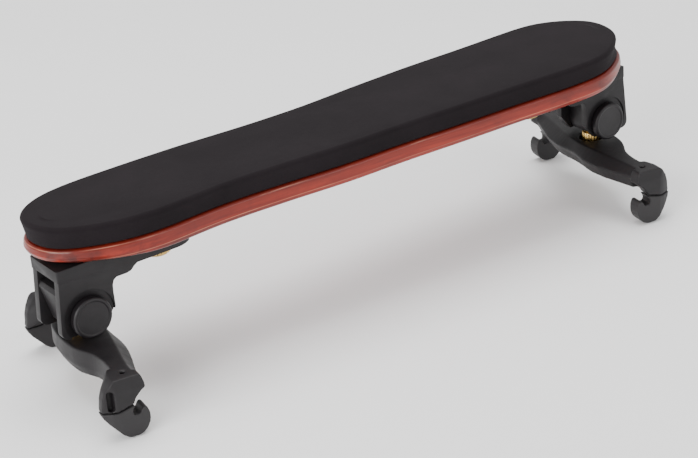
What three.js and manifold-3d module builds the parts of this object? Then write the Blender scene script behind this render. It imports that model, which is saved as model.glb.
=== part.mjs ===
// Violin shoulder rest: a padded wooden board on two folding legs. Each leg hangs from a slotted plastic
// bracket, folds on two pivot pins, screws up and down on a brass stud and ends in a swivelling fork
// whose two rubber-booted claws grip the edge of the violin.
// Frame: millimetres, +Z up, origin on the ground under the middle of the board, +X along the board
// (right leg at +X), -Y towards the front edge of the board.
import * as THREE from 'three';
import { mergeVertices } from 'three/addons/utils/BufferGeometryUtils.js';
import Module from 'manifold-3d';

// ---- driving dimensions -------------------------------------------------------------------------
const GAP = 0.3;                 // space left between pieces that touch on the real object
const BOARD_Z0 = 46.5, BOARD_Z1 = 52.8;      // underside and top of the wood
const PAD_Z0 = BOARD_Z1 + GAP, PAD_Z1 = 60.7;  // foam pad
const PAD_INSET = 1.2;           // ledge of wood left bare round the pad; the pad's wall leans out above it
// widest contour of the board seen from above, counter-clockwise from the left end: 242 mm long, 44 to 48 mm wide
// at its ends and 40 mm at its waist, with the front corners cut back more than the rear ones
const BOARD_OUTLINE = [
  [-121.3, 0.0], [-119.8, -5.4], [-116.3, -9.8], [-111.7, -12.9], [-106.6, -15.4], [-101.3, -17.4], [-95.6, -18.8], [-85.3, -19.7],
  [-61.8, -18.3], [-38.2, -19.2], [-14.7, -20.9], [9.0, -21.2], [32.6, -22.2], [56.2, -22.9], [79.8, -24.0], [93.4, -23.4],
  [100.0, -21.5], [105.0, -18.9], [109.7, -15.8], [113.9, -12.2], [117.5, -7.8], [119.4, -2.5], [120.1, 3.0], [119.4, 8.6],
  [116.5, 13.3], [112.3, 17.1], [107.4, 19.8], [102.0, 21.6], [96.5, 22.5], [87.6, 22.7], [64.0, 22.1], [40.3, 21.9],
  [16.7, 20.8], [-6.8, 19.2], [-30.4, 19.4], [-54.0, 20.9], [-77.6, 21.3], [-94.3, 21.0], [-99.9, 20.5], [-105.4, 19.5],
  [-110.7, 17.7], [-115.5, 14.8], [-119.4, 10.8], [-121.3, 5.6]];
const OUTLINE_STEPS = 92;

const SCREW_X = 78.6;            // clamping screw through the bracket's slot
const SLOT_IN_X = 75.4, SLOT_OUT_X = 88.0, SLOT_R = 2.5;
const ARM_TIP_X = 66.8, BRACKET_END_X = 118.8, BRACKET_HALF = 8.7;
const SLAB_Z0 = 42.3, SLAB_Z1 = BOARD_Z0 - GAP;
const ARM_PLATE_Z0 = 44.6, ARM_SKIRT_Z0 = 40.0, SKIRT_Z0 = 37.5;
const EAR_STEP = 0.35;                       // ears and skirts stand this far behind the slab's edge
const EAR_IN_Y = 5.6, EAR_X0 = 99.9, EAR_X1 = 119.7, EAR_Z0 = 22.3;
const HINGE_X = 109.3, HINGE_Z = 27.7;       // fold axis, along Y
const PIN_R = 2.0, KNOB_R = 6.9, KNOB_OUT_Y = 10.7, DISH_R = 9.0, DISH_DEPTH = 1.0;

const STUD_R = 2.2, STUD_Z0 = 9.4, STUD_Z1 = 38.6;
const COLLAR_R = 3.3, COLLAR_Z0 = 17.6, COLLAR_Z1 = 22.3;
const FORK_TOP = 20.1, FORK_BOTTOM = 11.0;
const WELL_R = 4.5, WELL_Z = 16.6, NUT_WELL_Z = 13.3, NUT_WELL_R = 4.7;
const FOOT_V0 = 34.8, FOOT_V1 = 39.8;            // the front foot's reach from the stud along the fork
const REAR_SHORT = 4.5;                          // the rear arm is this much shorter
const RIM_Z = 9.5;                           // edge of the rubber boot
const SWIVEL_LEFT = -8.6, SWIVEL_RIGHT = -10.2;   // degrees about +Z from square
const RIGHT_DROP = 1.2;                      // right leg screwed out this much further than the left

// ---- solids -------------------------------------------------------------------------------------
const wasm = await Module();
wasm.setup();
function solid(geometry) {
  let g = geometry.clone();
  g.deleteAttribute('normal'); g.deleteAttribute('uv');
  g = mergeVertices(g, 1e-5);
  return new wasm.Manifold(new wasm.Mesh({
    numProp: 3,
    vertProperties: new Float32Array(g.attributes.position.array),
    triVerts: new Uint32Array(g.index.array),
  }));
}
function geometryOf(m) {
  const mesh = m.getMesh();
  const g = new THREE.BufferGeometry();
  const n = mesh.numProp, count = mesh.vertProperties.length / n;
  const p = new Float32Array(count * 3);
  for (let i = 0; i < count; i++) for (let k = 0; k < 3; k++) p[i * 3 + k] = mesh.vertProperties[i * n + k];
  g.setAttribute('position', new THREE.BufferAttribute(p, 3));
  g.setIndex(new THREE.BufferAttribute(new Uint32Array(mesh.triVerts), 1));
  g.computeVertexNormals();
  return g;
}
const shapeOf = (pts) => new THREE.Shape(pts.map(([x, y]) => new THREE.Vector2(x, y)));
// outline in XY, from z0 to z1
function slabXY(pts, z0, z1) {
  const g = new THREE.ExtrudeGeometry(shapeOf(pts), { depth: z1 - z0, bevelEnabled: false, steps: 1 });
  g.translate(0, 0, z0);
  return g;
}
// outline in XZ, from y0 to y1
function slabXZ(pts, y0, y1) {
  const g = new THREE.ExtrudeGeometry(shapeOf(pts), { depth: y1 - y0, bevelEnabled: false, steps: 1 });
  g.rotateX(Math.PI / 2);          // outline's y becomes +Z, depth runs to -Y
  g.translate(0, y1, 0);
  return g;
}
// turned about a vertical axis through (x, y); profile is [radius, z] and starts and ends on the axis
function turned(profile, segments, x = 0, y = 0) {
  const g = new THREE.LatheGeometry(profile.map(([r, z]) => new THREE.Vector2(r, z)), segments);
  g.rotateX(Math.PI / 2);
  g.translate(x, y, 0);
  return g;
}
function rod(r, z0, z1, segments, x = 0, y = 0) {
  const g = new THREE.CylinderGeometry(r, r, z1 - z0, segments);
  g.rotateX(Math.PI / 2);
  g.translate(x, y, (z0 + z1) / 2);
  return g;
}
function rodY(r, y0, y1, segments, x, z) {
  const g = new THREE.CylinderGeometry(r, r, y1 - y0, segments);
  g.translate(x, (y0 + y1) / 2, z);
  return g;
}
const box = (x0, x1, y0, y1, z0, z1) => {
  const g = new THREE.BoxGeometry(x1 - x0, y1 - y0, z1 - z0);
  g.translate((x0 + x1) / 2, (y0 + y1) / 2, (z0 + z1) / 2);
  return g;
};
const join = (...gs) => gs.map((g) => (g instanceof THREE.BufferGeometry ? solid(g) : g)).reduce((a, b) => a.add(b));
const cut = (a, ...gs) => gs.map((g) => (g instanceof THREE.BufferGeometry ? solid(g) : g)).reduce((m, b) => m.subtract(b), a);
// arc points, degrees
function arc(cx, cy, r, a0, a1, n) {
  const out = [];
  for (let i = 0; i <= n; i++) {
    const a = ((a0 + ((a1 - a0) * i) / n) * Math.PI) / 180;
    out.push([cx + r * Math.cos(a), cy + r * Math.sin(a)]);
  }
  return out;
}

const group = new THREE.Group();
function mesh(name, geometry, material, parent = group) {
  const m = new THREE.Mesh(geometry, material);
  m.name = name;
  parent.add(m);
  return m;
}
const wood = () => new THREE.MeshStandardMaterial({ color: 0x8a2c12, roughness: 0.22, metalness: 0 });
const foam = () => new THREE.MeshStandardMaterial({ color: 0x1b1819, roughness: 0.95, metalness: 0 });
const plastic = () => new THREE.MeshStandardMaterial({ color: 0x1f1c1e, roughness: 0.5, metalness: 0 });
const rubber = () => new THREE.MeshStandardMaterial({ color: 0x181617, roughness: 0.7, metalness: 0 });
const brass = () => new THREE.MeshStandardMaterial({ color: 0xb98a3a, roughness: 0.3, metalness: 1 });
const steel = () => new THREE.MeshStandardMaterial({ color: 0x8c8c8c, roughness: 0.35, metalness: 1 });

// ---- board and pad ------------------------------------------------------------------------------
const boardCurve = new THREE.CatmullRomCurve3(BOARD_OUTLINE.map(([x, y]) => new THREE.Vector3(x, y, 0)), true, 'centripetal');
const boardPoints = boardCurve.getSpacedPoints(OUTLINE_STEPS).slice(0, OUTLINE_STEPS).map((p) => [p.x, p.y]);
function boardOutline(inset) {
  const n = boardPoints.length;
  return boardPoints.map(([x, y], i) => {
    const [ax, ay] = boardPoints[(i + n - 1) % n], [bx, by] = boardPoints[(i + 1) % n];
    const l = Math.hypot(bx - ax, by - ay);
    return [x - (inset * (by - ay)) / l, y + (inset * (bx - ax)) / l];
  });
}
// closed solid through rings of equal point count at given heights
function stacked(rings) {
  const n = rings[0].pts.length, pos = [], idx = [];
  rings.forEach(({ pts, z }) => pts.forEach(([x, y]) => pos.push(x, y, typeof z === 'function' ? z(x, y) : z)));
  for (let k = 0; k < rings.length - 1; k++)
    for (let i = 0; i < n; i++) {
      const a = k * n + i, b = k * n + ((i + 1) % n), c = a + n, d = b + n;
      idx.push(a, b, d, a, d, c);
    }
  const cap = (ring, base, up) => {
    const v = ring.pts.map(([x, y]) => new THREE.Vector2(x, y));
    for (const [a, b, c] of THREE.ShapeUtils.triangulateShape(v, []))
      up ? idx.push(base + a, base + b, base + c) : idx.push(base + a, base + c, base + b);
  };
  cap(rings[0], 0, false);
  cap(rings[rings.length - 1], (rings.length - 1) * n, true);
  const g = new THREE.BufferGeometry();
  g.setAttribute('position', new THREE.BufferAttribute(new Float32Array(pos), 3));
  g.setIndex(idx);
  return g;
}
const boardBlank = solid(stacked([
  { pts: boardOutline(1.5), z: BOARD_Z0 }, { pts: boardOutline(0.35), z: BOARD_Z0 + 1.0 },
  { pts: boardOutline(0), z: BOARD_Z0 + 2.2 }, { pts: boardOutline(0.15), z: BOARD_Z1 - 1.2 },
  { pts: boardOutline(0.9), z: BOARD_Z1 }]));
const INSERT_R = 3.2, INSERT_Z0 = BOARD_Z0 + GAP, INSERT_Z1 = 52.0;
const woodBoard = cut(boardBlank,
  rod(INSERT_R + GAP, BOARD_Z0 - 1, INSERT_Z1 + 0.3, 28, SCREW_X), rod(INSERT_R + GAP, BOARD_Z0 - 1, INSERT_Z1 + 0.3, 28, -SCREW_X));
mesh('wood_board', geometryOf(woodBoard), wood());
mesh('foam_pad', geometryOf(solid(stacked([
  { pts: boardOutline(PAD_INSET), z: PAD_Z0 }, { pts: boardOutline(0.1), z: PAD_Z1 - 2.2 },
  { pts: boardOutline(0.35), z: PAD_Z1 - 0.8 }, { pts: boardOutline(1.4), z: PAD_Z1 }]))), foam());

// ---- bracket ------------------------------------------------------------------------------------
function bracket() {
  const armTip = arc(ARM_TIP_X + BRACKET_HALF, 0, BRACKET_HALF, 90, 270, 14);
  const r = 0.7;
  const plateOutline = [...armTip, ...arc(BRACKET_END_X - r, -BRACKET_HALF + r, r, 270, 360, 3), ...arc(BRACKET_END_X - r, BRACKET_HALF - r, r, 0, 90, 3)];
  const inner = BRACKET_HALF - 2.4;
  const channel = [[60, inner], [60, -inner], [94, -inner], [94, inner]];   // open at the arm's tip
  const armSolid = cut(solid(slabXY(plateOutline, ARM_SKIRT_Z0, SLAB_Z1)),
    slabXY(channel, ARM_SKIRT_Z0 - 1, ARM_PLATE_Z0),
    slabXY([...arc(SLOT_IN_X, 0, SLOT_R, 90, 270, 10), ...arc(SLOT_OUT_X, 0, SLOT_R, -90, 90, 10)], ARM_PLATE_Z0 - 1, SLAB_Z1 + 1),
    box(96, 130, -EAR_IN_Y, EAR_IN_Y, ARM_SKIRT_Z0 - 1, SLAB_Z0),
    slabXZ([[90, ARM_SKIRT_Z0], [90, 30], [BRACKET_END_X + 1, 30], [BRACKET_END_X + 1, SLAB_Z0]], -20, 20));   // thins out towards its end
  // side plate: skirt, curved transition to the arm and the ear, in XZ
  const side = [
    [BRACKET_END_X - EAR_STEP, SLAB_Z0 + 1.5], [88.2, SLAB_Z0 + 1.5], [88.2, ARM_SKIRT_Z0], [90.1, ARM_SKIRT_Z0 - 0.1], [91.5, ARM_SKIRT_Z0 - 0.9],
    [92.8, SKIRT_Z0 + 0.4], [94.4, SKIRT_Z0], [98.2, SKIRT_Z0], [99.3, SKIRT_Z0 - 0.7], [EAR_X0, SKIRT_Z0 - 2.2],
    [EAR_X0 + 0.1, 33], [EAR_X0, 27.8], ...arc(HINGE_X, HINGE_Z, 7.4, 218, 226.9, 2),     // clears the fork as the leg folds
    ...arc(EAR_X1 - 2.6, EAR_Z0 + 2.6, 2.6, 270, 360, 5), [BRACKET_END_X - EAR_STEP, SLAB_Z0 - 0.6]];
  let b = armSolid;
  for (const s of [-1, 1]) {
    const y0 = s > 0 ? EAR_IN_Y : EAR_STEP - BRACKET_HALF, y1 = s > 0 ? BRACKET_HALF - EAR_STEP : -EAR_IN_Y;
    b = b.add(solid(slabXZ(side, y0, y1)));
  }
  const dish = (s) => rodY(DISH_R, s > 0 ? BRACKET_HALF - DISH_DEPTH : -BRACKET_HALF - 2, s > 0 ? BRACKET_HALF + 2 : -BRACKET_HALF + DISH_DEPTH, 40, HINGE_X, HINGE_Z);
  b = cut(b, rodY(PIN_R + GAP, -20, 20, 24, HINGE_X, HINGE_Z), dish(1), dish(-1));
  return geometryOf(b);
}

// ---- hinge block --------------------------------------------------------------------------------
const BLOCK_HALF = EAR_IN_Y - GAP;
function hingeBlock() {
  const outline = [[-5.3, 25.2], [-4.2, 22.8], [4.4, 22.8], [6.2, 24.6], [9.4, 37.0], [8.7, 38.5], [1.8, 39.4], [-3.4, 37.4], [-5.3, 33]]
    .map(([u, z]) => [HINGE_X + u, z]);
  return geometryOf(cut(solid(slabXZ(outline, -BLOCK_HALF, BLOCK_HALF)),
    rod(STUD_R + GAP, 10, 50, 24, HINGE_X), rodY(PIN_R + GAP, -20, -2.9, 24, HINGE_X, HINGE_Z), rodY(PIN_R + GAP, 2.9, 20, 24, HINGE_X, HINGE_Z)));
}

// ---- knobs, pins, screws ------------------------------------------------------------------------
function pivotPin(s) {                           // s = -1 front, +1 rear
  return geometryOf(solid(rodY(PIN_R, s > 0 ? 3.3 : -9.4, s > 0 ? 9.4 : -3.3, 20, HINGE_X, HINGE_Z)));
}
function knob(s) {
  const r = KNOB_R, y0 = BRACKET_HALF - DISH_DEPTH + GAP, y1 = KNOB_OUT_Y;
  const g = new THREE.LatheGeometry([[0, y0], [r - 0.4, y0], [r, y0 + 0.4], [r, y1 - 0.45], [r - 0.45, y1], [r - 1.1, y1], [r - 1.35, y1 - 0.25], [0, y1 - 0.25]]
    .map(([a, b]) => new THREE.Vector2(a, b)), 40);
  if (s < 0) g.rotateX(Math.PI);
  g.translate(HINGE_X, 0, HINGE_Z);
  // blind seat for the pin
  return geometryOf(cut(solid(g), rodY(PIN_R + GAP, s > 0 ? 0 : -9.7, s > 0 ? 9.7 : 0, 20, HINGE_X, HINGE_Z)));
}
// outline with n ridges
function knurled(r, depth, n) {
  const pts = [];
  for (let i = 0; i < n; i++) {
    const a = (2 * Math.PI * i) / n, d = Math.PI / n;
    pts.push([(r - depth) * Math.cos(a - 0.55 * d), (r - depth) * Math.sin(a - 0.55 * d)], [r * Math.cos(a + 0.1 * d), r * Math.sin(a + 0.1 * d)],
      [r * Math.cos(a + 0.9 * d), r * Math.sin(a + 0.9 * d)]);
  }
  return pts;
}
function thumbScrew() {
  const head = slabXY(knurled(4.8, 0.4, 22), 37.9, 42.6);
  return geometryOf(join(head, turned([[0, 37.3], [3.8, 37.3], [4.2, 37.7], [4.2, 38.1], [0, 38.1]], 32),
    turned([[0, 42.4], [3.6, 42.4], [3.6, 43.4], [2.0, 43.4], [2.0, 51.5], [1.5, 51.9], [0, 51.9]], 24)).translate([SCREW_X, 0, 0]));
}
function ring(rOut, rIn, z0, z1, x, n = 32) {
  return geometryOf(cut(solid(rod(rOut, z0, z1, n, x)), rod(rIn, z0 - 1, z1 + 1, 24, x)));
}
function stud() {
  return geometryOf(solid(turned([[0, STUD_Z0], [STUD_R - 0.4, STUD_Z0], [STUD_R, STUD_Z0 + 0.4], [STUD_R, STUD_Z1 - 0.5], [STUD_R - 0.5, STUD_Z1], [0, STUD_Z1]], 24, HINGE_X)));
}
function collar() {
  return geometryOf(cut(solid(slabXY(knurled(COLLAR_R, 0.3, 18), COLLAR_Z0, COLLAR_Z1)).translate([HINGE_X, 0, 0]), rod(STUD_R + GAP, 10, 30, 24, HINGE_X)));
}
function hexNut() {
  return geometryOf(cut(solid(rod(3.9, 10.0, NUT_WELL_Z - GAP, 6, HINGE_X)), rod(STUD_R + GAP, 5, 30, 24, HINGE_X)));
}

// ---- fork and boots, in a local frame on the stud: +x outwards, y along the fork ----------------
// half of the fork's outline, [u, v], from the middle of the outer side round the arm's end to the inner side
const FORK_HALF = [[7.8, 0], [7.6, 5], [6.8, 10.5], [5.2, 14.8], [3.3, 18.6], [2.3, 23], [2.0, 28], [2.4, 31.6], [3.3, 34.0], [3.7, 36.2], [3.0, 37.8],
  [-4.2, 37.8], [-5.2, 36.0], [-6.0, 32], [-7.7, 25], [-9.4, 17.5], [-10.0, 10], [-9.4, 4], [-9.2, 0]];
// inner side of the flat top, same stations
const FORK_TOP_INNER = [[-3.6, 37.8], [-3.4, 36.0], [-3.3, 31.5], [-4.1, 24.5], [-5.2, 17], [-6.3, 9.5], [-6.9, 4], [-7.0, 0]];
// foot section, [u, z]: the fork's own hook above the rim, the rubber boot below it
const HOOK_UPPER = [[-1.2, 10.9], [4.2, RIM_Z], [8.8, RIM_Z], [8.5, 11.4], [8.2, 13.9], [7.3, 16.4], [5.6, 19.0], [4.4, FORK_TOP], [-4.4, FORK_TOP], [-4.9, 19.0], [-5.5, 16.6], [-5.4, 15.7], [-4.2, 14.8], [-2.8, 13.6], [-1.9, 12.3]];
const HOOK_LOWER = [[-1.9, 0], [1.4, 0], [3.3, 1.4], [5.1, 3.5], [7.2, 5.9], [8.4, 7.7], [8.9, RIM_Z - GAP], [4.1, RIM_Z - GAP], [-1.3, 10.5], [-1.3, 10.2], [-0.7, 9.4], [-0.5, 8.4], [-0.7, 7.5], [-1.1, 7.2], [-2.6, 7.2], [-3.2, 7.7], [-3.5, 8.5], [-4.1, 9.1], [-4.8, 9.1], [-5.3, 8.5], [-5.8, 7.0], [-5.9, 5.3], [-5.6, 3.6], [-4.9, 2.2], [-3.6, 0.8]];
const TANG = { u0: 2.6, u1: 5.2, z0: 5.2, inset: 1.4 };
// fairing where the arm runs out into the foot's outer side: thin section near the arm, full one at the foot
const FAIRING_ARM = [[-1, 14.6], [2.2, 13.6], [3.6, 14.6], [3.5, 17.2], [3.0, FORK_TOP], [-1, FORK_TOP]];
const FAIRING_FOOT = [[-1, 13], [4.2, RIM_Z + 0.1], [8.6, RIM_Z + 0.1], [8.4, 11.4], [8.0, 13.9], [7.2, 16.4], [5.5, 19.0], [4.3, FORK_TOP], [-1, FORK_TOP]];
// smooth line through [u, v] points, k steps between neighbours; the first point lies on v = 0
function eased(points, k) {
  const [u1, v1] = points[1], n = points.length, out = [];
  const line = new THREE.CatmullRomCurve3([[u1, -v1], ...points].map(([u, v]) => new THREE.Vector3(u, v, 0)), false, 'centripetal');
  for (let i = 0; i < (n - 1) * k; i++) {
    const p = line.getPoint((1 + i / k) / n);
    out.push([p.x, p.y]);
  }
  out.push(points[n - 1]);
  return out;
}
// e is the side of the stud, +1 or -1 along v, that the rear arm is on
const reach = (v, e) => (v * e <= 0 ? v : Math.abs(v) >= FOOT_V0 ? v - e * REAR_SHORT : v * (1 - REAR_SHORT / FOOT_V0));
function fork(e) {
  const whole = (outer, inner) => {
    const half = [...eased(outer, 3), ...eased([...inner].reverse(), 3).reverse()];
    return [...half, ...half.slice(1, -1).reverse().map(([u, v]) => [u, -v])];
  };
  const outline = whole(FORK_HALF.slice(0, 11), FORK_HALF.slice(11));
  const top = whole(FORK_HALF.slice(0, 11).map(([u, v]) => [u - 0.2, v]), FORK_TOP_INNER);
  const lower = outline.map(([u, v]) => [u * (u < 0 ? 0.66 : 0.84) - 0.2, v * 0.985]);
  const placed = (pts) => pts.map(([u, v]) => [u, reach(v, e)]);
  // the arms thin out towards the feet, and their sides lean in towards the top
  const rise = (v) => Math.max(0, Math.abs(v) - 12) * 0.065;
  const body = solid(stacked([{ pts: placed(lower), z: (u, v) => FORK_BOTTOM + rise(v) },
    { pts: placed(outline), z: (u, v) => FORK_BOTTOM + (u < 0 ? 5.4 : 3.2) + 0.6 * rise(v) }, { pts: placed(top), z: FORK_TOP }]));
  let f = body;
  for (const s of [-1, 1]) {
    const back = s === e ? -s * REAR_SHORT : 0;
    const a = (s > 0 ? FOOT_V0 : -FOOT_V1) + back, b = (s > 0 ? FOOT_V1 : -FOOT_V0) + back;
    // clear the room in front of the claw, then add the foot
    f = cut(f, slabXZ([[-12, FORK_BOTTOM - 3], [9.5, FORK_BOTTOM - 3], [9.5, RIM_Z], [4.2, RIM_Z], [-1.2, 10.9], [-1.9, 12.3], [-2.8, 13.6], [-4.2, 14.8], [-5.4, 15.7], [-5.6, 16.6], [-12, 16.8]], s > 0 ? a - 0.8 : -60, s > 0 ? 60 : b + 0.8));
    const near = s > 0 ? a - 0.2 : b + 0.2, far = near - s * 4.2;
    f = f.add(wasm.Manifold.hull([solid(slabXZ(FAIRING_FOOT, near - 0.25, near + 0.25)), solid(slabXZ(FAIRING_ARM, far - 0.1, far + 0.1))]));
    f = f.add(solid(slabXZ(HOOK_UPPER, a, b)));
    f = f.add(solid(box(TANG.u0, TANG.u1, a + TANG.inset, b - TANG.inset, TANG.z0, RIM_Z + 1)));
    // slope the end face back towards the top
    f = cut(f, solid(new THREE.BoxGeometry(30, 8, 30).rotateX(s * 0.17).translate(0, s * (FOOT_V1 + 4.0 - 0.5) + back, 17.5 + 2)));
  }
  f = cut(f, rod(STUD_R + GAP, 0, 40, 24), rod(WELL_R, WELL_Z, 40, 32), rod(NUT_WELL_R, 0, NUT_WELL_Z, 32),
    rod(0.95, FORK_TOP - 3, 40, 12, -0.4, reach(34.7, e)), rod(0.95, FORK_TOP - 3, 40, 12, -0.4, reach(-34.7, e)));
  return geometryOf(f);
}
function boot(s, e) {
  const back = s === e ? -s * REAR_SHORT : 0;
  const a = (s > 0 ? FOOT_V0 : -FOOT_V1) + back, b = (s > 0 ? FOOT_V1 : -FOOT_V0) + back;
  const g = GAP;
  return geometryOf(cut(solid(slabXZ(HOOK_LOWER, a - 0.25, b + 0.25)),
    box(TANG.u0 - g, TANG.u1 + g, a + TANG.inset - g, b - TANG.inset + g, TANG.z0 - g, RIM_Z + 2)));
}

// ---- assembly -----------------------------------------------------------------------------------
for (const [side, turn, swivel] of [['right', 0, SWIVEL_RIGHT], ['left', Math.PI, SWIVEL_LEFT]]) {
  // a side's hardware is the same on both legs, turned half a turn about Z, so front and rear trade places
  const flip = side === 'left';
  const leg = new THREE.Group();
  leg.rotation.z = turn;
  group.add(leg);
  mesh(`thread_insert_${side}`, ring(INSERT_R, 2.3, INSERT_Z0, INSERT_Z1, SCREW_X), brass(), leg);
  mesh(`thumb_screw_${side}`, thumbScrew(), brass(), leg);
  mesh(`thumb_washer_${side}`, ring(5.4, 2.3, 43.7, ARM_PLATE_Z0 - GAP, SCREW_X), steel(), leg);
  mesh(`bracket_${side}`, bracket(), plastic(), leg);
  mesh(`hinge_block_${side}`, hingeBlock(), plastic(), leg);
  for (const s of [-1, 1]) {
    const where = (s < 0) !== flip ? 'front' : 'rear';
    mesh(`pivot_pin_${side}_${where}`, pivotPin(s), steel(), leg);
    mesh(`pivot_knob_${side}_${where}`, knob(s), plastic(), leg);
  }
  const lower = new THREE.Group();               // what moves up and down with the stud
  lower.position.z = flip ? 0 : -RIGHT_DROP;
  leg.add(lower);
  mesh(`height_stud_${side}`, stud(), brass(), lower);
  mesh(`height_collar_${side}`, collar(), brass(), lower);
  mesh(`thrust_washer_${side}`, ring(4.1, STUD_R + GAP, WELL_Z + GAP, COLLAR_Z0 - GAP, HINGE_X), steel(), lower);
  mesh(`retaining_nut_${side}`, hexNut(), brass(), lower);
  const forkFrame = new THREE.Group();
  forkFrame.position.set(HINGE_X, 0, 0);
  forkFrame.rotation.z = (swivel * Math.PI) / 180;
  lower.add(forkFrame);
  mesh(`fork_${side}`, fork(flip ? -1 : 1), plastic(), forkFrame);
  for (const s of [-1, 1]) {
    const where = (s < 0) !== flip ? 'front' : 'rear';
    mesh(`boot_${side}_${where}`, boot(s, flip ? -1 : 1), rubber(), forkFrame);
  }
}
// level the part on its four soles, then put the origin on the ground under the middle of its bounding box
group.rotation.y = -Math.asin(RIGHT_DROP / (2 * HINGE_X));
group.updateMatrixWorld(true);
const bounds = new THREE.Box3().setFromObject(group, true);
group.position.set(-(bounds.min.x + bounds.max.x) / 2, -(bounds.min.y + bounds.max.y) / 2, -bounds.min.z);
export default group;
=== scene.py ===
"""Violin shoulder rest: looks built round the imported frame. Metres, +Z up, right leg at +X."""
import math
import bpy
import bmesh
import numpy as np
from mathutils import Matrix, Vector


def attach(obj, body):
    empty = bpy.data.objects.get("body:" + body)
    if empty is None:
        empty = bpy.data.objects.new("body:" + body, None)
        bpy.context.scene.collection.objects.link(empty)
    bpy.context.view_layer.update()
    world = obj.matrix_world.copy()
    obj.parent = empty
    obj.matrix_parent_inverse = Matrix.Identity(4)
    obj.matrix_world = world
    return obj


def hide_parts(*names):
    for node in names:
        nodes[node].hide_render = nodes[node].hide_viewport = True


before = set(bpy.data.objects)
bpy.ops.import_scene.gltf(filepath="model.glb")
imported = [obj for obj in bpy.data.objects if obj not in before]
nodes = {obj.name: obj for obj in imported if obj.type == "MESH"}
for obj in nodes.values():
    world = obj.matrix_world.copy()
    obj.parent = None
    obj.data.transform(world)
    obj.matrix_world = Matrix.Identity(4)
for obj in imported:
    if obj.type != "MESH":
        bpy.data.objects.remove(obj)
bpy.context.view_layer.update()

MM = 0.001

# ---- where the board and the legs are, as in the part's own source -------------------------------
HINGE_X, HINGE_Z, SCREW_X, DROP = 109.3, 27.7, 78.6, 1.2
SWIVEL = {"left": -8.6, "right": -10.2}
REAR_SHORT = 4.5
TILT = -math.asin(DROP / (2 * HINGE_X))
SHIFT = Vector((-0.085729, 2.255967, 0.649180))
ROW = Matrix.Translation(SHIFT) @ Matrix.Rotation(TILT, 4, "Y")        # board frame to row frame, mm


def leg_frame(side, lowered=False, fork=False):
    """Matrix from a leg's frame, or its fork's, to the row frame, in mm."""
    m = ROW @ Matrix.Rotation(0 if side == "right" else math.pi, 4, "Z")
    if lowered:
        m = m @ Matrix.Translation((0, 0, -DROP if side == "right" else 0))
    if fork:
        m = m @ Matrix.Translation((HINGE_X, 0, 0)) @ Matrix.Rotation(math.radians(SWIVEL[side]), 4, "Z")
    return m


RIM_HIGHLIGHT_Z = 48.4                 # height of the painted highlight line along the board's rim, above the lower bevel

# ---- materials ----------------------------------------------------------------------------------
class Mat:
    def __init__(self, name):
        self.m = bpy.data.materials.new(name)
        self.m.use_nodes = True
        self.nt = self.m.node_tree
        self.nt.nodes.clear()
        self.out = self.nt.nodes.new("ShaderNodeOutputMaterial")
        self.b = self.nt.nodes.new("ShaderNodeBsdfPrincipled")
        self.nt.links.new(self.b.outputs[0], self.out.inputs[0])
        self.tc = self.nt.nodes.new("ShaderNodeTexCoord")

    def coords(self, scale=(1000, 1000, 1000), rot=(0, 0, 0)):
        n = self.nt.nodes.new("ShaderNodeMapping")
        n.inputs["Scale"].default_value = scale
        n.inputs["Rotation"].default_value = rot
        self.nt.links.new(self.tc.outputs["Object"], n.inputs["Vector"])
        return n.outputs[0]

    def board_height(self):
        """Height in the board's own frame, mm."""
        k = ROW.col[2].to_3d()
        n = self.nt.nodes.new("ShaderNodeVectorMath")
        n.operation = "DOT_PRODUCT"
        self.nt.links.new(self.tc.outputs["Object"], n.inputs[0])
        n.inputs[1].default_value = k * 1000
        return self.math("SUBTRACT", n.outputs["Value"], SHIFT.dot(k))

    def noise(self, vec, scale, detail=3, rough=0.55, dist=0.0):
        n = self.nt.nodes.new("ShaderNodeTexNoise")
        n.inputs["Scale"].default_value = scale
        n.inputs["Detail"].default_value = detail
        n.inputs["Roughness"].default_value = rough
        n.inputs["Distortion"].default_value = dist
        self.nt.links.new(vec, n.inputs["Vector"])
        return n.outputs["Fac"]

    def voronoi(self, vec, scale, feature="F1"):
        n = self.nt.nodes.new("ShaderNodeTexVoronoi")
        n.feature = feature
        n.inputs["Scale"].default_value = scale
        self.nt.links.new(vec, n.inputs["Vector"])
        return n.outputs["Distance"]

    def ramp(self, fac, stops):
        n = self.nt.nodes.new("ShaderNodeValToRGB")
        e = n.color_ramp.elements
        while len(e) < len(stops):
            e.new(0.5)
        for el, (p, c) in zip(e, stops):
            el.position = p
            el.color = (*c, 1) if isinstance(c, (tuple, list)) else (c, c, c, 1)
        self.nt.links.new(fac, n.inputs[0])
        return n.outputs[0]

    def mix(self, fac, a, b, kind="MIX"):
        n = self.nt.nodes.new("ShaderNodeMix")
        n.data_type = "RGBA"
        n.blend_type = kind
        for sock, v in ((n.inputs[0], fac), (n.inputs[6], a), (n.inputs[7], b)):
            if isinstance(v, bpy.types.NodeSocket):
                self.nt.links.new(v, sock)
            elif isinstance(v, tuple):
                sock.default_value = (*v, 1)
            else:
                sock.default_value = v
        return n.outputs[2]

    def math(self, op, a, b=0.0):
        n = self.nt.nodes.new("ShaderNodeMath")
        n.operation = op
        for sock, v in ((n.inputs[0], a), (n.inputs[1], b)):
            if isinstance(v, bpy.types.NodeSocket):
                self.nt.links.new(v, sock)
            else:
                sock.default_value = v
        return n.outputs[0]

    def bump(self, height, strength, distance, normal=None):
        n = self.nt.nodes.new("ShaderNodeBump")
        n.inputs["Strength"].default_value = strength
        n.inputs["Distance"].default_value = distance
        self.nt.links.new(height, n.inputs["Height"])
        if normal is not None:
            self.nt.links.new(normal, n.inputs["Normal"])
        return n.outputs[0]

    def set(self, **kw):
        for k, v in kw.items():
            sock = self.b.inputs[k.replace("_", " ")]
            if isinstance(v, bpy.types.NodeSocket):
                self.nt.links.new(v, sock)
            else:
                sock.default_value = v
        return self


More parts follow.
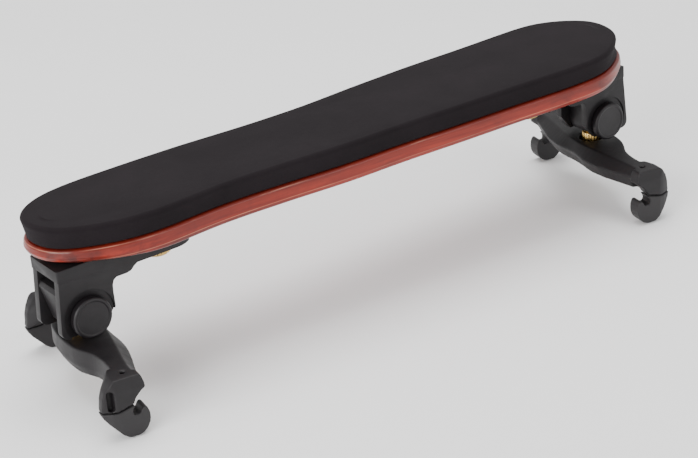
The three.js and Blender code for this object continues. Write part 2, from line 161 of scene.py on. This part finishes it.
def foam_material():
    m = Mat("foam_charcoal")
    v = m.coords()
    cells = m.voronoi(v, 2.6)
    fine = m.noise(v, 4.5, 4, 0.65)
    broad = m.noise(v, 0.045, 4, 0.6, 0.4)
    base = m.mix(m.ramp(broad, [(0.34, 0.0), (0.68, 1.0)]), (0.0060, 0.0042, 0.0052), (0.0095, 0.0070, 0.0084))
    col = m.mix(m.ramp(fine, [(0.35, 0.0), (0.75, 0.45)]), base, (0.0170, 0.0140, 0.0158))
    n = m.bump(cells, 0.32, 0.00008)
    n = m.bump(fine, 0.42, 0.00010, n)
    n = m.bump(m.noise(v, 0.30, 3), 0.30, 0.00020, n)
    m.set(Base_Color=col, Roughness=m.ramp(fine, [(0.2, 0.84), (0.8, 0.97)]), Normal=n)
    m.b.inputs["Specular IOR Level"].default_value = 0.10
    m.b.inputs["Sheen Weight"].default_value = 0.035
    m.b.inputs["Sheen Roughness"].default_value = 0.5
    m.b.inputs["Sheen Tint"].default_value = (0.85, 0.80, 0.84, 1)
    return m.m


def wood_material():
    m = Mat("wood_varnished")
    along = m.coords((22, 330, 520))
    warp = m.noise(m.coords((9, 60, 60)), 1.0, 3, 0.5)
    n = m.nt.nodes.new("ShaderNodeVectorMath"); n.operation = "ADD"
    m.nt.links.new(along, n.inputs[0])
    cmb = m.nt.nodes.new("ShaderNodeCombineXYZ")
    m.nt.links.new(m.math("MULTIPLY", warp, 2.6), cmb.inputs[1])
    m.nt.links.new(m.math("MULTIPLY", warp, 1.7), cmb.inputs[2])
    m.nt.links.new(cmb.outputs[0], n.inputs[1])
    grain = m.noise(n.outputs[0], 1.0, 6, 0.62, 0.35)
    pores = m.noise(m.coords((70, 2600, 2600)), 1.0, 3, 0.6)
    blotch = m.noise(m.coords(), 0.075, 4, 0.62, 0.7)
    col = m.ramp(grain, [(0.28, (0.095, 0.0060, 0.0025)), (0.46, (0.175, 0.0120, 0.0050)), (0.60, (0.240, 0.0190, 0.0080)), (0.78, (0.330, 0.0360, 0.0150))])
    sep = m.nt.nodes.new("ShaderNodeSeparateXYZ")
    m.nt.links.new(m.tc.outputs["Object"], sep.inputs[0])
    ends = m.ramp(m.math("ABSOLUTE", m.math("MULTIPLY", sep.outputs["X"], 8.0)), [(0.52, 0.25), (0.80, 1.0)])
    col = m.mix(m.math("MULTIPLY", ends, m.ramp(blotch, [(0.52, 0.0), (0.66, 0.85)])), col, (0.045, 0.0045, 0.0035))
    col = m.mix(m.ramp(pores, [(0.66, 0.0), (0.80, 0.45)]), col, (0.060, 0.0100, 0.0060))
    h = m.board_height()
    # darker towards the top edge of the rim
    col = m.mix(m.ramp(m.math("MULTIPLY", m.math("SUBTRACT", h, 50.2), 0.4), [(0.0, 0.0), (0.8, 0.70)]), col, (0.110, 0.0085, 0.0035))
    # painted highlight: a thin bright line along the rim above the lower bevel, broken up by noise
    wobble = m.math("MULTIPLY", m.math("SUBTRACT", m.noise(m.coords((8, 8, 8)), 1.0, 2), 0.5), 1.0)
    off = m.math("ABSOLUTE", m.math("SUBTRACT", m.math("ADD", h, wobble), RIM_HIGHLIGHT_Z))
    rim_highlight = m.ramp(off, [(0.04, 1.0), (0.20, 0.0)])
    rim_highlight = m.math("MULTIPLY", rim_highlight, m.ramp(m.noise(m.coords((30, 30, 30)), 1.0, 3), [(0.34, 0.12), (0.64, 0.62)]))
    col = m.mix(rim_highlight, col, (0.70, 0.26, 0.15))
    # painted highlight: a bright thin line along the rim's top edge next to the pad, in patches from noise
    ledge_highlight = m.ramp(m.math("ABSOLUTE", m.math("SUBTRACT", h, 52.35)), [(0.04, 1.0), (0.18, 0.0)])
    highlight_breakup = m.ramp(m.noise(m.coords((45, 45, 45)), 1.0, 3), [(0.52, 0.0), (0.66, 0.5)])
    col = m.mix(m.math("MULTIPLY", ledge_highlight, highlight_breakup), col, (0.55, 0.26, 0.17))
    ripple = m.noise(m.coords((40, 160, 160)), 1.0, 2)
    m.set(Base_Color=col, Roughness=m.ramp(grain, [(0.2, 0.36), (0.8, 0.48)]), Normal=m.bump(grain, 0.12, 0.00006))
    m.b.inputs["Specular IOR Level"].default_value = 0.25
    m.b.inputs["Coat Weight"].default_value = 0.30
    m.b.inputs["Coat Roughness"].default_value = 0.10
    m.b.inputs["Coat IOR"].default_value = 1.45
    m.nt.links.new(m.bump(ripple, 0.10, 0.00010), m.b.inputs["Coat Normal"])
    return m.m


def plastic_material(name="plastic_satin", base=0.0060, rough=(0.44, 0.60), seed=0.0):
    m = Mat(name)
    v = m.coords((1000, 1000, 1000), (seed, seed * 0.7, seed * 1.3))
    grain = m.noise(v, 5.5, 3, 0.6)
    flow = m.noise(m.coords((60, 60, 240)), 1.0, 4, 0.6, 0.8)
    smudge = m.noise(v, 0.16, 4, 0.6, 0.5)
    col = m.mix(m.ramp(flow, [(0.3, 0.0), (0.75, 1.0)]), (base * 0.90, base * 0.72, base * 0.86), (base * 1.45, base * 1.16, base * 1.36))
    scratch = m.ramp(m.noise(m.coords((300, 3800, 300), (0.4, 0.2, 0.9)), 1.0, 2, 0.4), [(0.70, 0.0), (0.78, 1.0)])
    col = m.mix(m.math("MULTIPLY", scratch, 0.18), col, (base * 3.2, base * 3.0, base * 3.2))
    n = m.bump(grain, 0.28, 0.00006)
    n = m.bump(smudge, 0.22, 0.00025, n)
    m.set(Base_Color=col, Roughness=m.ramp(smudge, [(0.25, rough[0]), (0.75, rough[1])]), Normal=n)
    m.b.inputs["Specular IOR Level"].default_value = 0.34
    return m.m


def rubber_material():
    m = Mat("rubber_boot")
    v = m.coords()
    fine = m.noise(v, 3.4, 4, 0.6)
    broad = m.noise(v, 0.22, 3, 0.6, 0.4)
    col = m.mix(m.ramp(broad, [(0.3, 0.0), (0.7, 1.0)]), (0.0080, 0.0068, 0.0076), (0.0130, 0.0112, 0.0124))
    dust = m.ramp(m.noise(v, 1.1, 5, 0.7), [(0.62, 0.0), (0.82, 0.35)])
    col = m.mix(dust, col, (0.026, 0.0235, 0.025))
    m.set(Base_Color=col, Roughness=m.ramp(broad, [(0.25, 0.48), (0.75, 0.66)]), Normal=m.bump(fine, 0.22, 0.00008))
    m.b.inputs["Specular IOR Level"].default_value = 0.42
    m.b.inputs["Sheen Weight"].default_value = 0.05
    return m.m


def brass_material():
    m = Mat("brass_turned")
    v = m.coords()
    turn = m.noise(m.coords((400, 400, 9000)), 1.0, 2, 0.5)
    tarn = m.noise(v, 0.45, 4, 0.65, 0.5)
    col = m.mix(m.ramp(tarn, [(0.35, 0.0), (0.75, 1.0)]), (0.80, 0.56, 0.20), (0.47, 0.29, 0.095))
    m.set(Base_Color=col, Roughness=m.ramp(tarn, [(0.3, 0.18), (0.8, 0.42)]), Normal=m.bump(turn, 0.16, 0.00005))
    m.b.inputs["Metallic"].default_value = 1.0
    return m.m


def steel_material():
    m = Mat("steel_plain")
    brush = m.noise(m.coords((9000, 400, 9000)), 1.0, 2, 0.5)
    v = m.coords()
    col = m.mix(m.ramp(m.noise(v, 0.5, 3), [(0.3, 0.0), (0.8, 1.0)]), (0.50, 0.50, 0.51), (0.36, 0.355, 0.35))
    m.set(Base_Color=col, Roughness=m.ramp(brush, [(0.2, 0.26), (0.8, 0.44)]), Normal=m.bump(brush, 0.12, 0.00003))
    m.b.inputs["Metallic"].default_value = 1.0
    return m.m


FOAM, WOOD, PLASTIC, RUBBER, BRASS, STEEL = foam_material(), wood_material(), plastic_material(), rubber_material(), brass_material(), steel_material()
KNOB = plastic_material("plastic_knob", 0.0066, (0.36, 0.52), 0.8)


# ---- mesh helpers -------------------------------------------------------------------------------
def new_object(name, mesh, material):
    o = bpy.data.objects.new(name, mesh)
    bpy.context.scene.collection.objects.link(o)
    o.data.materials.clear()
    o.data.materials.append(material)
    return o


def mesh_from(name, verts, faces, matrix=ROW):
    """Mesh from points in mm in the frame that matrix takes to the row frame."""
    me = bpy.data.meshes.new(name)
    me.from_pydata([(matrix @ Vector(v)) * MM for v in verts], [], faces)
    me.update()
    bm = bmesh.new()
    bm.from_mesh(me)
    bmesh.ops.recalc_face_normals(bm, faces=bm.faces)
    bm.to_mesh(me)
    bm.free()
    return me


def smooth(me, angle=None):
    me.polygons.foreach_set("use_smooth", [True] * len(me.polygons))
    if angle is not None:
        me.set_sharp_from_angle(angle=math.radians(angle))
    me.update()


def applied(o, name):
    """o's shape with its modifiers applied, as a new mesh; o is removed."""
    bpy.context.view_layer.update()
    dg = bpy.context.evaluated_depsgraph_get()
    me = bpy.data.meshes.new_from_object(o.evaluated_get(dg))
    me.name = name
    bpy.data.objects.remove(o)
    return me


def tidy_copy(node, name):
    """A CAD node's solid as one welded mesh without its triangulation."""
    bm = bmesh.new()
    bm.from_mesh(nodes[node].data)
    bmesh.ops.remove_doubles(bm, verts=bm.verts, dist=2e-6)
    bmesh.ops.dissolve_limit(bm, angle_limit=math.radians(1.0), verts=bm.verts, edges=bm.edges)
    me = bpy.data.meshes.new(name)
    bm.to_mesh(me)
    bm.free()
    return me


def prism(pts, lo, hi, axis, matrix, name="cutter"):
    """Outline in two coordinates, swept along the third."""
    n = len(pts)
    verts = []
    for d in (lo, hi):
        for a, b in pts:
            verts.append({"x": (d, a, b), "y": (a, d, b), "z": (a, b, d)}[axis])
    faces = [tuple(range(n)), tuple(range(2 * n - 1, n - 1, -1))] + [(i, (i + 1) % n, n + (i + 1) % n, n + i) for i in range(n)]
    me = mesh_from(name, verts, faces, matrix)
    o = bpy.data.objects.new(name, me)
    bpy.context.scene.collection.objects.link(o)
    return o


def circle(cx, cy, r, n=48):
    return [(cx + r * math.cos(2 * math.pi * i / n), cy + r * math.sin(2 * math.pi * i / n)) for i in range(n)]


def carve(o, cutters, solver="EXACT"):
    for c in cutters:
        m = o.modifiers.new("cut", "BOOLEAN")
        m.object = c
        m.operation = "DIFFERENCE"
        m.solver = solver


# ---- board and pad ------------------------------------------------------------------------------
BOARD_Z0, BOARD_Z1, PAD_Z0, PAD_Z1, PAD_INSET = 46.5, 52.8, 53.1, 60.7, 1.2
BOARD_OUTLINE = [
    (-121.3, 0.0), (-119.8, -5.4), (-116.3, -9.8), (-111.7, -12.9), (-106.6, -15.4), (-101.3, -17.4), (-95.6, -18.8), (-85.3, -19.7),
    (-61.8, -18.3), (-38.2, -19.2), (-14.7, -20.9), (9.0, -21.2), (32.6, -22.2), (56.2, -22.9), (79.8, -24.0), (93.4, -23.4),
    (100.0, -21.5), (105.0, -18.9), (109.7, -15.8), (113.9, -12.2), (117.5, -7.8), (119.4, -2.5), (120.1, 3.0), (119.4, 8.6),
    (116.5, 13.3), (112.3, 17.1), (107.4, 19.8), (102.0, 21.6), (96.5, 22.5), (87.6, 22.7), (64.0, 22.1), (40.3, 21.9),
    (16.7, 20.8), (-6.8, 19.2), (-30.4, 19.4), (-54.0, 20.9), (-77.6, 21.3), (-94.3, 21.0), (-99.9, 20.5), (-105.4, 19.5),
    (-110.7, 17.7), (-115.5, 14.8), (-119.4, 10.8), (-121.3, 5.6)]


def closed_curve(points, count):
    """Centripetal Catmull-Rom through the points, resampled evenly."""
    P = np.array(points, float)
    n = len(P)
    out = []
    for i in range(n):
        p0, p1, p2, p3 = P[(i - 1) % n], P[i], P[(i + 1) % n], P[(i + 2) % n]
        d0, d1, d2 = (max(np.linalg.norm(b - a), 1e-6) ** 0.5 for a, b in ((p0, p1), (p1, p2), (p2, p3)))
        t1 = ((p1 - p0) / d0 - (p2 - p0) / (d0 + d1) + (p2 - p1) / d1) * d1
        t2 = ((p2 - p1) / d1 - (p3 - p1) / (d1 + d2) + (p3 - p2) / d2) * d1
        for t in np.linspace(0, 1, 24, endpoint=False):
            out.append((2 * t**3 - 3 * t**2 + 1) * p1 + (t**3 - 2 * t**2 + t) * t1 + (3 * t**2 - 2 * t**3) * p2 + (t**3 - t**2) * t2)
    Q = np.array(out)
    seg = np.linalg.norm(np.roll(Q, -1, 0) - Q, axis=1)
    s = np.concatenate([[0], np.cumsum(seg)])
    Q = np.vstack([Q, Q[:1]])
    u = np.linspace(0, s[-1], count, endpoint=False)
    R = np.stack([np.interp(u, s, Q[:, 0]), np.interp(u, s, Q[:, 1])], 1)
    for _ in range(10):                      # take out what is left of the points' own unevenness
        R = 0.25 * np.roll(R, 1, 0) + 0.5 * R + 0.25 * np.roll(R, -1, 0)
    return R


RIM = closed_curve(BOARD_OUTLINE, 420)


def inset(r, d):
    """The outline moved inwards by d, one value or one for each point."""
    t = np.roll(r, -1, 0) - np.roll(r, 1, 0)
    t /= np.linalg.norm(t, axis=1)[:, None]
    return r + np.stack([-t[:, 1], t[:, 0]], 1) * np.reshape(d, (-1, 1))


def lofted(name, rings, material, matrix=ROW):
    """Closed skin through rings of (points, z or one z for each point)."""
    n = len(rings[0][0])
    verts, faces = [], []
    for pts, z in rings:
        z = np.broadcast_to(z, (n,))
        verts += [(float(a), float(b), float(c)) for (a, b), c in zip(pts, z)]
    for k in range(len(rings) - 1):
        for i in range(n):
            j = (i + 1) % n
            faces.append((k * n + i, k * n + j, (k + 1) * n + j, (k + 1) * n + i))
    faces.append(tuple(range(n - 1, -1, -1)))
    top = (len(rings) - 1) * n
    faces.append(tuple(range(top, top + n)))
    me = mesh_from(name, verts, faces, matrix)
    bm = bmesh.new()
    bm.from_mesh(me)
    bmesh.ops.triangulate(bm, faces=[f for f in bm.faces if len(f.verts) > 8], ngon_method="EAR_CLIP")
    bm.to_mesh(me)
    bm.free()
    return new_object(name, me, material)


def board_piece():
    # the underside edge is bevelled away more towards the ends, most at the left
    x = RIM[:, 0]
    left = np.clip((-x - 82.0) / 34.0, 0, 1)
    right = np.clip((x - 96.0) / 24.0, 0, 1)
    lift = 2.1 * left * left * (3 - 2 * left) + 2.0 * right * right * (3 - 2 * right)
    rings = [(inset(RIM, 7.0), BOARD_Z0), (inset(RIM, 1.9 + 1.6 * lift), BOARD_Z0 + 0.02)]
    # a rounded underside edge up to a soft arris, a nearly flat face, and a tight upper edge
    for k in range(1, 9):
        a = math.radians(-90 + 9 * k)
        rings.append((inset(RIM, 0.16 + 1.7 * (1 - math.cos(a))), 48.35 + lift * 0.9 + (48.35 - BOARD_Z0 - lift * 0.1) * math.sin(a)))
    for d, z in ((0.08, 48.30), (0.02, 48.45), (0.0, 48.60), (0.03, 49.0), (0.07, 49.6), (0.12, 50.3), (0.19, 51.0)):
        rings.append((inset(RIM, d), z + lift * 0.9 * (51.4 - z) / 3.1))
    for k in range(1, 11):
        a = math.radians(9 * k)
        rings.append((inset(RIM, 0.22 + 1.1 * (1 - math.cos(a)) ** 1.1), 51.4 + (BOARD_Z1 - 51.4) * math.sin(a)))
    rings.append((inset(RIM, 3.0), BOARD_Z1))
    o = lofted("board_blank", rings, WOOD)
    cutters = [prism(circle(s * SCREW_X, 0, 3.5, 40), BOARD_Z0 - 2, 52.3, "z", ROW) for s in (-1, 1)]
    carve(o, cutters)
    me = applied(o, "board_wood")
    for c in cutters:
        bpy.data.objects.remove(c)
    smooth(me, 42)
    o = new_object("board_varnished", me, WOOD)
    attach(o, "board")
    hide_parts("wood_board")


def capped(name, rings, material, z_top, columns=22):
    """Closed skin through the rings; the last one is bridged by a ladder of quads at height z_top(x, y)."""
    n = len(rings[0][0])
    verts, faces = [], []
    for pts, z in rings:
        z = np.broadcast_to(z, (n,))
        verts += [(float(a), float(b), float(c)) for (a, b), c in zip(pts, z)]
    for k in range(len(rings) - 1):
        for i in range(n):
            j = (i + 1) % n
            faces.append((k * n + i, k * n + j, (k + 1) * n + j, (k + 1) * n + i))
    faces.append(tuple(range(n - 1, -1, -1)))
    top, half = (len(rings) - 1) * n, n // 2
    last = rings[-1][0]
    rows = []
    for i in range(1, half):
        a, b = last[i], last[n - i]
        row = [top + i]
        for c in range(1, columns):
            p = a + (b - a) * c / columns
            row.append(len(verts))
            verts.append((float(p[0]), float(p[1]), z_top(float(p[0]), float(p[1]), min(c, columns - c) / columns)))
        row.append(top + n - i)
        rows.append(row)
    for r, q in zip(rows, rows[1:]):
        faces += [(r[c], q[c], q[c + 1], r[c + 1]) for c in range(columns)]
    faces += [(top, rows[0][c], rows[0][c + 1]) for c in range(columns)]
    faces += [(top + half, rows[-1][c + 1], rows[-1][c]) for c in range(columns)]
    return new_object(name, mesh_from(name, verts, faces), material)


def pad_piece():
    n = len(RIM)
    a = np.arange(n) * 2 * math.pi / n
    wave = 0.05 * np.sin(7 * a + 0.6) + 0.04 * np.sin(13 * a + 2.1) + 0.03 * np.sin(29 * a + 1.0)
    rings = [(inset(RIM, PAD_INSET + 1.2), PAD_Z0), (inset(RIM, PAD_INSET + 0.45), PAD_Z0), (inset(RIM, PAD_INSET + 0.12 + 0.3 * wave), PAD_Z0 + 0.25)]
    # the wall leans out to the top edge, hollowed a little where the blade went through
    edge_z, r_in, r_z = 59.05, 1.55, 1.40
    back = np.clip((RIM[:, 0] - 98.0) / 20.0, 0, 1)
    back = 1.5 * back * back * (3 - 2 * back)              # the pad stops further from the rim at the right end
    for k in range(1, 9):
        t = k / 8
        d = PAD_INSET * (1 - t ** 0.8) + 0.14 + 0.10 * math.sin(math.pi * t)
        rings.append((inset(RIM, d + back * min(1.0, t * 2) + wave * (0.4 + 0.6 * t)), PAD_Z0 + 0.25 + (edge_z - PAD_Z0 - 0.25) * t))
    for k in range(1, 11):
        t = math.radians(9 * k)
        rings.append((inset(RIM, 0.14 + back + r_in * (1 - math.cos(t)) + wave * math.cos(t)), edge_z + r_z * math.sin(t)))
    for d, z in ((2.6, 60.50), (3.8, 60.54), (5.5, 60.57)):
        rings.append((inset(RIM, d + back), z))

    def face(x, y, near):
        return 60.57 + 0.03 * min(1.0, near * 6) + 0.07 * min(1.0, near * 5) * math.sin(x * 0.055 + 1.0) * math.cos(y * 0.16)

    o = capped("pad_foam", rings, FOAM, face)
    smooth(o.data)
    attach(o, "board")
    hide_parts("foam_pad")


board_piece()
pad_piece()


# ---- moulded and turned pieces ------------------------------------------------------------------
def dressed(node, body, material, bevel=0.3, segments=3, angle=28):
    """The CAD piece with its edges rounded as a mould leaves them."""
    me = tidy_copy(node, node + "_mesh")
    o = new_object(node + "_finished", me, material)
    if bevel:
        m = o.modifiers.new("edges", "BEVEL")
        m.width = bevel * MM
        m.segments = segments
        m.limit_method = "ANGLE"
        m.angle_limit = math.radians(angle)
        m.miter_outer = "MITER_ARC"
        m.harden_normals = False
        m.use_clamp_overlap = True
    me = applied(o, node + "_shape")
    smooth(me, 38)
    o = new_object(node + "_finished", me, material)
    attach(o, body)
    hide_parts(node)
    return o


def softened(node, body, material, cutters, voxel, rounds):
    """The CAD piece as a soft-edged moulding: cut, remeshed evenly and relaxed."""
    o = new_object(node + "_blank", tidy_copy(node, node + "_mesh"), material)
    carve(o, cutters)
    m = o.modifiers.new("even", "REMESH")
    m.mode = "VOXEL"
    m.voxel_size = voxel * MM
    m = o.modifiers.new("relax", "SMOOTH")
    m.factor = 0.5
    m.iterations = rounds
    me = applied(o, node + "_shape")
    for c in cutters:
        bpy.data.objects.remove(c)
    smooth(me)
    o = new_object(node + "_moulded", me, material)
    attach(o, body)
    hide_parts(node)
    return o


def foot_shift(side, s):
    """How far a foot's features move along the fork, mm: the rear arm is the shorter one."""
    rear = 1 if side == "right" else -1
    return -s * REAR_SHORT if s == rear else 0.0


def corner_cut(side, s, proud=0.0):
    """Wedge that takes the outer corner off a foot's end face, leaving the upright crease."""
    m, d = leg_frame(side, True, True), foot_shift(side, s)
    pts = [(1.6 + proud, s * 40.6 + d), (5.4 + proud, s * (39.3 + 0.4 * proud) + d), (8.0 + proud, s * 37.9 + d), (9.8 + proud, s * 36.7 + d),
           (14, s * 36.7 + d), (14, s * 44 + d), (1.6 + proud, s * 44 + d)]
    return prism(pts, -1, 21.0, "z", m)


def pocket_cut(side, s):
    """Shallow moulded pocket in the foot's bevelled end, just above the boot's rim."""
    m, d = leg_frame(side, True, True), foot_shift(side, s)
    pts = [(4.5, s * 42 + d), (6.9, s * 42 + d), (6.6, s * 36.4 + d), (5.0, s * 37.0 + d)]
    return prism(pts, 9.9, 16.8, "z", m)


for side in ("left", "right"):
    low = leg_frame(side, True)
    # forks with their feet, and the boots
    softened(f"fork_{side}", f"fork_{side}", PLASTIC,
             [corner_cut(side, s) for s in (-1, 1)] + [pocket_cut(side, 1)], 0.36, 5)
    for where, s in (("front", -1 if side == "right" else 1), ("rear", 1 if side == "right" else -1)):
        softened(f"boot_{side}_{where}", f"fork_{side}", RUBBER, [corner_cut(side, s, 0.25)], 0.24, 4)
        dressed(f"pivot_knob_{side}_{where}", f"pivot_{side}_{where}", KNOB, 0.24, 3)
    dressed(f"bracket_{side}", f"bracket_{side}", PLASTIC, 0.26, 3)
    dressed(f"hinge_block_{side}", f"hinge_block_{side}", PLASTIC, 0.2, 2)
    screw = dressed(f"thumb_screw_{side}", f"thumb_screw_{side}", BRASS, 0.08, 1)
    for v in screw.data.vertices:            # the head stands a little further down
        if (ROW.inverted() @ (v.co / MM)).z < 38.6:
            v.co -= ROW.col[2].to_3d() * 0.9 * MM
    dressed(f"height_collar_{side}", f"height_stud_{side}", BRASS, 0.06, 1)


# threaded stud: a turned rod with its thread cut in
def stud_piece(side):
    r, depth, pitch, z0, z1 = 2.2, 0.28, 0.8, 9.4, 38.6
    nth, nz = 40, int((z1 - z0) / (pitch / 8))
    verts, faces = [], []
    for k in range(nz + 1):
        z = z0 + (z1 - z0) * k / nz
        end = min(1.0, (z - z0) / 0.5, (z1 - z) / 0.6)
        for i in range(nth):
            ph = (z / pitch - i / nth) % 1.0
            d = depth * (1 - abs(2 * ph - 1)) if 13.5 < z < 17.4 or z > 22.4 else 0.02
            rr = min(r - d, r - 0.45 * (1 - end))
            a = 2 * math.pi * i / nth
            verts.append((HINGE_X + rr * math.cos(a), rr * math.sin(a), z))
    for k in range(nz):
        for i in range(nth):
            j = (i + 1) % nth
            faces.append((k * nth + i, k * nth + j, (k + 1) * nth + j, (k + 1) * nth + i))
    faces.append(tuple(range(nth - 1, -1, -1)))
    faces.append(tuple(range(nz * nth, nz * nth + nth)))
    me = mesh_from(f"stud_{side}", verts, faces, leg_frame(side, True))
    smooth(me, 50)
    o = new_object(f"height_stud_{side}_threaded", me, BRASS)
    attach(o, f"height_stud_{side}")
    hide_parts(f"height_stud_{side}")


for side in ("left", "right"):
    stud_piece(side)

# hardware that stays as it is gets its metal
for name, o in nodes.items():
    mat = None
    if name.startswith(("thread_insert", "retaining_nut")):
        mat = BRASS
    elif name.startswith(("thumb_washer", "thrust_washer", "pivot_pin")):
        mat = STEEL
    if mat:
        o.data.materials.clear()
        o.data.materials.append(mat)

# ---- stage --------------------------------------------------------------------------------------
me = bpy.data.meshes.new("floor")
S = 3.0
me.from_pydata([(-S, -S, -0.0004), (S, -S, -0.0004), (S, S, -0.0004), (-S, S, -0.0004)], [], [(0, 1, 2, 3)])
floor_mat = Mat("floor_pale")
fv = floor_mat.noise(floor_mat.coords((6, 6, 6)), 1.0, 3)
floor_mat.set(Base_Color=floor_mat.mix(floor_mat.ramp(fv, [(0.3, 0.0), (0.7, 1.0)]), (0.93, 0.93, 0.93), (0.95, 0.95, 0.95)))
floor_mat.b.inputs["Roughness"].default_value = 0.75
floor = new_object("floor", me, floor_mat.m)

world = bpy.data.worlds.new("studio")
bpy.context.scene.world = world
world.use_nodes = True
world.node_tree.nodes["Background"].inputs[0].default_value = (1.0, 1.0, 1.0, 1)
world.node_tree.nodes["Background"].inputs[1].default_value = 0.80


def softbox(name, loc, target, size, power):
    d = bpy.data.lights.new(name, "AREA")
    d.shape = "RECTANGLE"
    d.size, d.size_y = size
    d.energy = power
    o = bpy.data.objects.new(name, d)
    o.location = loc
    o.rotation_euler = (Vector(target) - Vector(loc)).to_track_quat("-Z", "Y").to_euler()
    bpy.context.scene.collection.objects.link(o)


softbox("key", (-0.95, -0.30, 0.42), (0, 0, 0.03), (0.8, 0.5), 11.0)
softbox("fill", (0.35, -0.95, 0.45), (0, 0, 0.03), (0.6, 0.4), 3.0)
softbox("top", (0.05, 0.20, 1.10), (0, 0, 0.04), (1.0, 0.7), 11.0)

# ---- camera -------------------------------------------------------------------------------------
cam_axes = Matrix(((0.803430, 0.308030, -0.509526), (-0.590452, 0.302121, -0.748391), (-0.076589, 0.902131, 0.424610)))
cam_mat = cam_axes.to_4x4()
cam_mat.translation = Vector((-359.626, -523.664, 315.938))
cam_mat = ROW @ cam_mat
cam_mat.translation = cam_mat.translation * MM
data = bpy.data.cameras.new("camera")
data.lens = 104.6767
data.sensor_width = 36.0
data.sensor_fit = "HORIZONTAL"
data.clip_start, data.clip_end = 0.01, 20.0
camera = bpy.data.objects.new("camera", data)
camera.matrix_world = cam_mat
bpy.context.scene.collection.objects.link(camera)
bpy.context.scene.camera = camera
